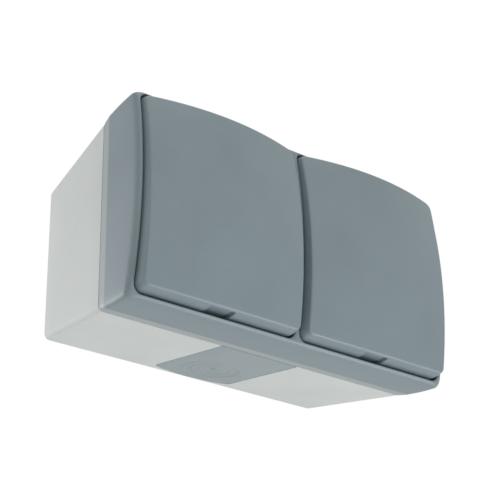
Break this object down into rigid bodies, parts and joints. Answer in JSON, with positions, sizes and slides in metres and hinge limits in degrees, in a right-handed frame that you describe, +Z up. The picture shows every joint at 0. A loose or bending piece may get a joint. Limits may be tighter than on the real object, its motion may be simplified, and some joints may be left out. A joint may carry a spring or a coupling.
{
  "type": "twin rocker wall switch",
  "caption": "Surface-mounted twin rocker switch: drafted light grey back box with a rubber cable-entry membrane underneath, blue-grey front frame and two large domed rocker caps.",
  "frame": {"origin": "middle of the flat back face that lies on the wall", "axes": "+Z up the wall, front faces -Y, +X to the right seen from the front, +Y into the wall"},
  "size_m": [0.1566, 0.0838, 0.0846],
  "materials": {
    "blue_grey_plastic": "smooth satin moulded plastic",
    "light_grey_plastic": "fine matt moulded plastic",
    "grey_rubber": "soft matt",
    "black_rubber": "matt",
    "white_plastic": "matt",
    "zinc_steel": "zinc plated",
    "contact_brass": "bare, dull"
  },
  "bodies": {
    "housing": {"back_box": "light_grey_plastic", "cable_entry_membrane": "grey_rubber", "front_frame": "blue_grey_plastic", "box_gasket": "black_rubber", "mechanism_housing_left": "white_plastic", "mechanism_housing_right": "white_plastic", "support_plate_left": "zinc_steel", "support_plate_right": "zinc_steel", "splash_seal_left": "black_rubber", "splash_seal_right": "black_rubber", "upper_contact_left": "contact_brass", "upper_contact_right": "contact_brass", "lower_contact_left": "contact_brass", "lower_contact_right": "contact_brass", "common_terminal_left": "contact_brass", "common_terminal_right": "contact_brass", "upper_terminal_screw_left": "zinc_steel", "upper_terminal_screw_right": "zinc_steel", "lower_terminal_screw_left": "zinc_steel", "lower_terminal_screw_right": "zinc_steel", "common_terminal_screw_left": "zinc_steel", "common_terminal_screw_right": "zinc_steel", "plate_screw_outer_left": "zinc_steel", "plate_screw_outer_right": "zinc_steel", "plate_screw_inner_left": "zinc_steel", "plate_screw_inner_right": "zinc_steel", "frame_screw_top_left": "zinc_steel", "frame_screw_top_right": "zinc_steel", "frame_screw_bottom_left": "zinc_steel", "frame_screw_bottom_right": "zinc_steel"},
    "rocker_left": {"rocker_cap_left": "blue_grey_plastic", "rocker_carrier_left": "white_plastic", "spring_plunger_left": "zinc_steel", "toggle_spring_left": "zinc_steel"},
    "lever_left": {"contact_lever_left": "contact_brass"},
    "rocker_right": {"rocker_cap_right": "blue_grey_plastic", "rocker_carrier_right": "white_plastic", "spring_plunger_right": "zinc_steel", "toggle_spring_right": "zinc_steel"},
    "lever_right": {"contact_lever_right": "contact_brass"}
  },
  "joints": [
    {"name": "rocker_tilt_left", "type": "hinge", "parent": "housing", "child": "rocker_left", "pos_m": [-0.03675, -0.064, 0], "axis": [1, 0, 0], "range_deg": [0, 5.6]},
    {"name": "lever_tilt_left", "type": "hinge", "parent": "housing", "child": "lever_left", "pos_m": [-0.03675, -0.0407, 0], "axis": [1, 0, 0], "range_deg": [-6.4, 0]},
    {"name": "rocker_tilt_right", "type": "hinge", "parent": "housing", "child": "rocker_right", "pos_m": [0.03675, -0.064, 0], "axis": [1, 0, 0], "range_deg": [0, 5.6]},
    {"name": "lever_tilt_right", "type": "hinge", "parent": "housing", "child": "lever_right", "pos_m": [0.03675, -0.0407, 0], "axis": [1, 0, 0], "range_deg": [-6.4, 0]}
  ],
  "couplings": [
    {"joint": "lever_tilt_left", "follows": "rocker_tilt_left", "ratio": -1.1429},
    {"joint": "lever_tilt_right", "follows": "rocker_tilt_right", "ratio": -1.1429}
  ]
}
